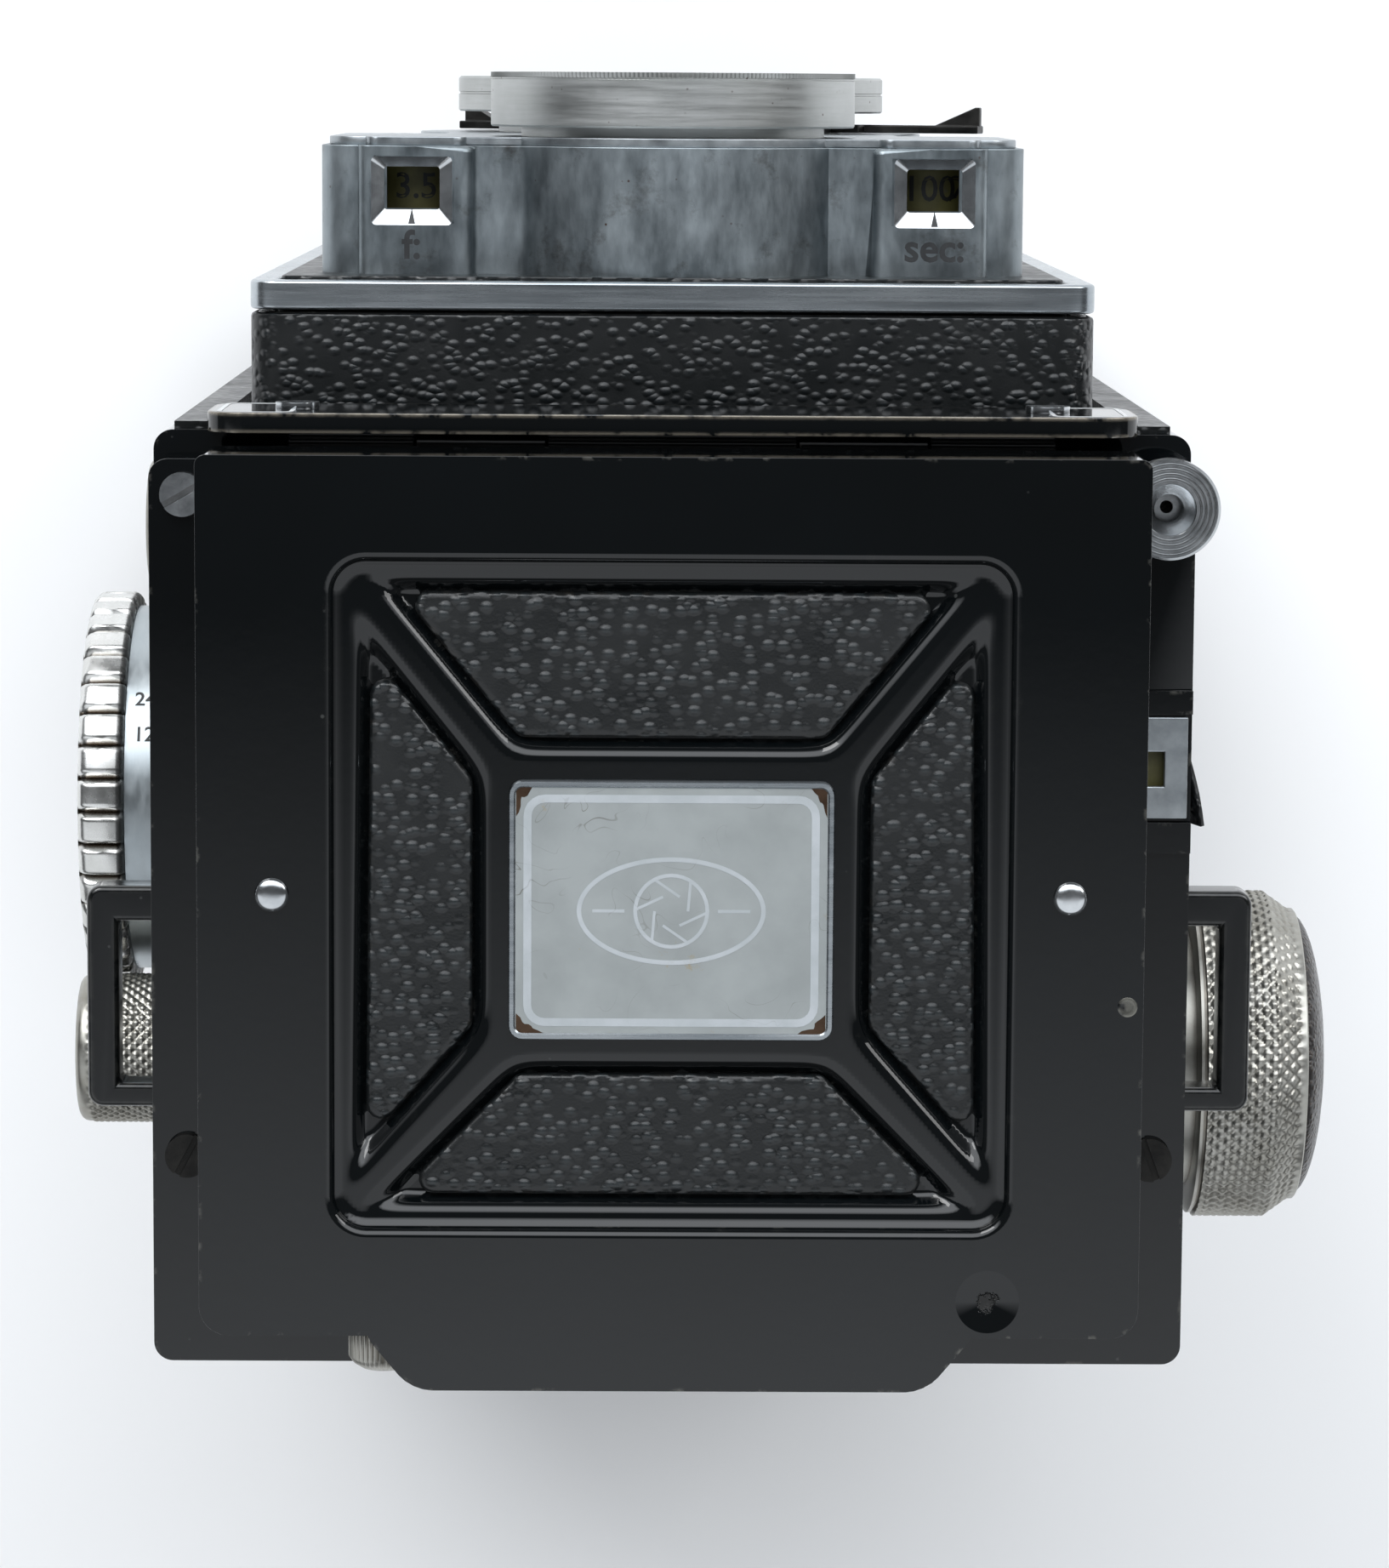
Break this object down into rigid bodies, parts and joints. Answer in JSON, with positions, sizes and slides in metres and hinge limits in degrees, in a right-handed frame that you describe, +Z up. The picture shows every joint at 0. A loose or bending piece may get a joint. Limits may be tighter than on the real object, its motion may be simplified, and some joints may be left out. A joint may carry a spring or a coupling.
{
  "type": "twin lens reflex camera",
  "caption": "Roll-film twin lens reflex camera, black enamel and pebbled leather, satin chrome lens housing, folding waist-level hood shown closed.",
  "frame": {"origin": "centre of the tripod socket's mouth, level with the feet", "axes": "+Z up through the viewing hood, lenses look along -Y, +X towards the focusing knob"},
  "size_m": [0.1048, 0.0999, 0.1325],
  "materials": {
    "black_enamel": "gloss",
    "leather": "pebbled",
    "satin_chrome": "satin",
    "bright_chrome": "polished",
    "steel": "satin",
    "blackened_steel": "dull",
    "glass": "clear",
    "mirror": "silvered",
    "dial": "matt",
    "badge": "worn satin",
    "housing_alloy": "satin"
  },
  "bodies": {
    "camera_body": {"body_casting": "black_enamel", "top_plate": "black_enamel", "body_leather": "leather", "front_box": "black_enamel", "front_box_leather": "leather", "name_plate": "black_enamel", "screws": "satin_chrome", "strap_lugs": "black_enamel", "counter_plate": "satin_chrome", "mirror": "mirror", "mirror_holder": "black_enamel", "focusing_screen": "glass", "film_gate": "steel", "tripod_bush": "steel", "feet": "steel", "hood_base": "black_enamel", "hinge_pins": "steel"},
    "counter": {"counter_disc": "dial"},
    "release": {"release_button": "bright_chrome"},
    "winder": {"wind_knob": "satin_chrome", "wind_knob_cap": "leather", "wind_shaft": "steel", "takeup_spool": "black_enamel"},
    "feed_spool": {"supply_spool": "black_enamel"},
    "takeup_pull": {"takeup_pull_knob": "satin_chrome"},
    "supply_pull": {"supply_pull_knob": "satin_chrome"},
    "focusing": {"focus_knob": "bright_chrome", "focus_shaft": "steel"},
    "lens_board": {"lens_panel": "black_enamel", "panel_trim": "bright_chrome", "panel_leather": "leather", "guide_rods": "steel", "lens_housing": "housing_alloy", "face_plate": "satin_chrome", "viewing_mount": "housing_alloy", "viewing_lens": "glass", "taking_mount": "housing_alloy", "taking_lenses": "glass", "shutter_housing": "housing_alloy", "shutter_blades": "blackened_steel"},
    "aperture_control": {"aperture_lever": "blackened_steel"},
    "speed_control": {"speed_lever": "blackened_steel"},
    "cocking_control": {"cocking_lever": "blackened_steel"},
    "aperture_scale": {"aperture_dial": "dial"},
    "speed_scale": {"speed_dial": "dial"},
    "door": {"back_door": "black_enamel", "door_leather": "leather", "pressure_plate": "black_enamel"},
    "lock": {"lock_ring": "satin_chrome"},
    "lid": {"hood_lid": "black_enamel", "lid_panel": "black_enamel", "lid_leather": "leather", "lid_badge": "badge", "lid_rivets": "bright_chrome"},
    "left_flap": {"side_flap_left": "black_enamel"},
    "right_flap": {"side_flap_right": "black_enamel"},
    "back_flap": {"rear_flap": "black_enamel"},
    "magnifier": {"magnifier_frame": "black_enamel", "magnifier_lens": "glass"},
    "catch": {"hood_catch": "satin_chrome"}
  },
  "joints": [
    {"name": "wind_turn", "type": "hinge", "parent": "camera_body", "child": "winder", "pos_m": [-0.045, 0.0175, 0.081], "axis": [-1, 0, 0], "continuous": true},
    {"name": "counter_turn", "type": "hinge", "parent": "camera_body", "child": "counter", "pos_m": [-0.0346, -0.0116, 0.117], "axis": [0, 0, 1], "continuous": true},
    {"name": "feed_turn", "type": "hinge", "parent": "camera_body", "child": "feed_spool", "pos_m": [0, -0.0215, 0.0153], "axis": [1, 0, 0], "continuous": true},
    {"name": "takeup_pull_out", "type": "slide", "parent": "camera_body", "child": "takeup_pull", "axis": [1, 0, 0], "range_m": [0, 0.006], "stiffness_N_per_m": 200, "springref_m": -0.004},
    {"name": "supply_pull_out", "type": "slide", "parent": "camera_body", "child": "supply_pull", "axis": [1, 0, 0], "range_m": [0, 0.006], "stiffness_N_per_m": 200, "springref_m": -0.004},
    {"name": "release_press", "type": "slide", "parent": "camera_body", "child": "release", "axis": [0, 0, -1], "range_m": [0, 0.0017], "stiffness_N_per_m": 400, "springref_m": -0.001},
    {"name": "focus_turn", "type": "hinge", "parent": "camera_body", "child": "focusing", "pos_m": [0.045, -0.0033, 0.07], "axis": [1, 0, 0], "range_deg": [0, 302]},
    {"name": "panel_slide", "type": "slide", "parent": "camera_body", "child": "lens_board", "axis": [0, -1, 0], "range_m": [0, 0.0068]},
    {"name": "aperture_turn", "type": "hinge", "parent": "lens_board", "child": "aperture_control", "pos_m": [0, -0.06, 0.043], "axis": [0, 1, 0], "range_deg": [0, 40]},
    {"name": "speed_turn", "type": "hinge", "parent": "lens_board", "child": "speed_control", "pos_m": [0, -0.06, 0.043], "axis": [0, -1, 0], "range_deg": [0, 36]},
    {"name": "cocking_turn", "type": "hinge", "parent": "lens_board", "child": "cocking_control", "pos_m": [0, -0.06, 0.043], "axis": [0, 1, 0], "range_deg": [0, 36]},
    {"name": "aperture_scale_turn", "type": "hinge", "parent": "lens_board", "child": "aperture_scale", "pos_m": [0.0207, -0.055, 0.0875], "axis": [0, 1, 0], "range_deg": [0, 202]},
    {"name": "speed_scale_turn", "type": "hinge", "parent": "lens_board", "child": "speed_scale", "pos_m": [-0.0207, -0.055, 0.0875], "axis": [0, -1, 0], "range_deg": [0, 202]},
    {"name": "door_swing", "type": "hinge", "parent": "camera_body", "child": "door", "pos_m": [0, 0.0343, 0.1126], "axis": [1, 0, 0], "range_deg": [0, 95]},
    {"name": "lock_turn", "type": "hinge", "parent": "camera_body", "child": "lock", "pos_m": [0, 0, 0.0005], "axis": [0, 0, 1], "range_deg": [0, 60]},
    {"name": "lid_lift", "type": "hinge", "parent": "camera_body", "child": "lid", "pos_m": [0, -0.0348, 0.1215], "axis": [1, 0, 0], "range_deg": [0, 90]},
    {"name": "left_flap_lift", "type": "hinge", "parent": "camera_body", "child": "left_flap", "pos_m": [0.0326, 0, 0.1199], "axis": [0, 1, 0], "range_deg": [0, 90]},
    {"name": "right_flap_lift", "type": "hinge", "parent": "camera_body", "child": "right_flap", "pos_m": [-0.0326, 0, 0.1199], "axis": [0, -1, 0], "range_deg": [0, 90]},
    {"name": "rear_flap_lift", "type": "hinge", "parent": "camera_body", "child": "back_flap", "pos_m": [0, 0.0274, 0.1256], "axis": [-1, 0, 0], "range_deg": [0, 90]},
    {"name": "magnifier_swing", "type": "hinge", "parent": "lid", "child": "magnifier", "pos_m": [0, -0.0035, 0.1274], "axis": [1, 0, 0], "range_deg": [-90, 0]},
    {"name": "catch_press", "type": "slide", "parent": "camera_body", "child": "catch", "axis": [0, -1, 0], "range_m": [0, 0.0012], "stiffness_N_per_m": 400, "springref_m": -0.001}
  ],
  "couplings": [
    {"joint": "counter_turn", "follows": "wind_turn", "ratio": 0.071429},
    {"joint": "focus_turn", "follows": "panel_slide", "rad_per_m": 770},
    {"joint": "aperture_scale_turn", "follows": "aperture_turn", "ratio": 5},
    {"joint": "speed_scale_turn", "follows": "speed_turn", "ratio": 5.5},
    {"joint": "left_flap_lift", "follows": "lid_lift", "ratio": 1},
    {"joint": "right_flap_lift", "follows": "lid_lift", "ratio": 1},
    {"joint": "rear_flap_lift", "follows": "lid_lift", "ratio": 1},
    {"joint": "magnifier_swing", "follows": "lid_lift", "ratio": -1}
  ]
}
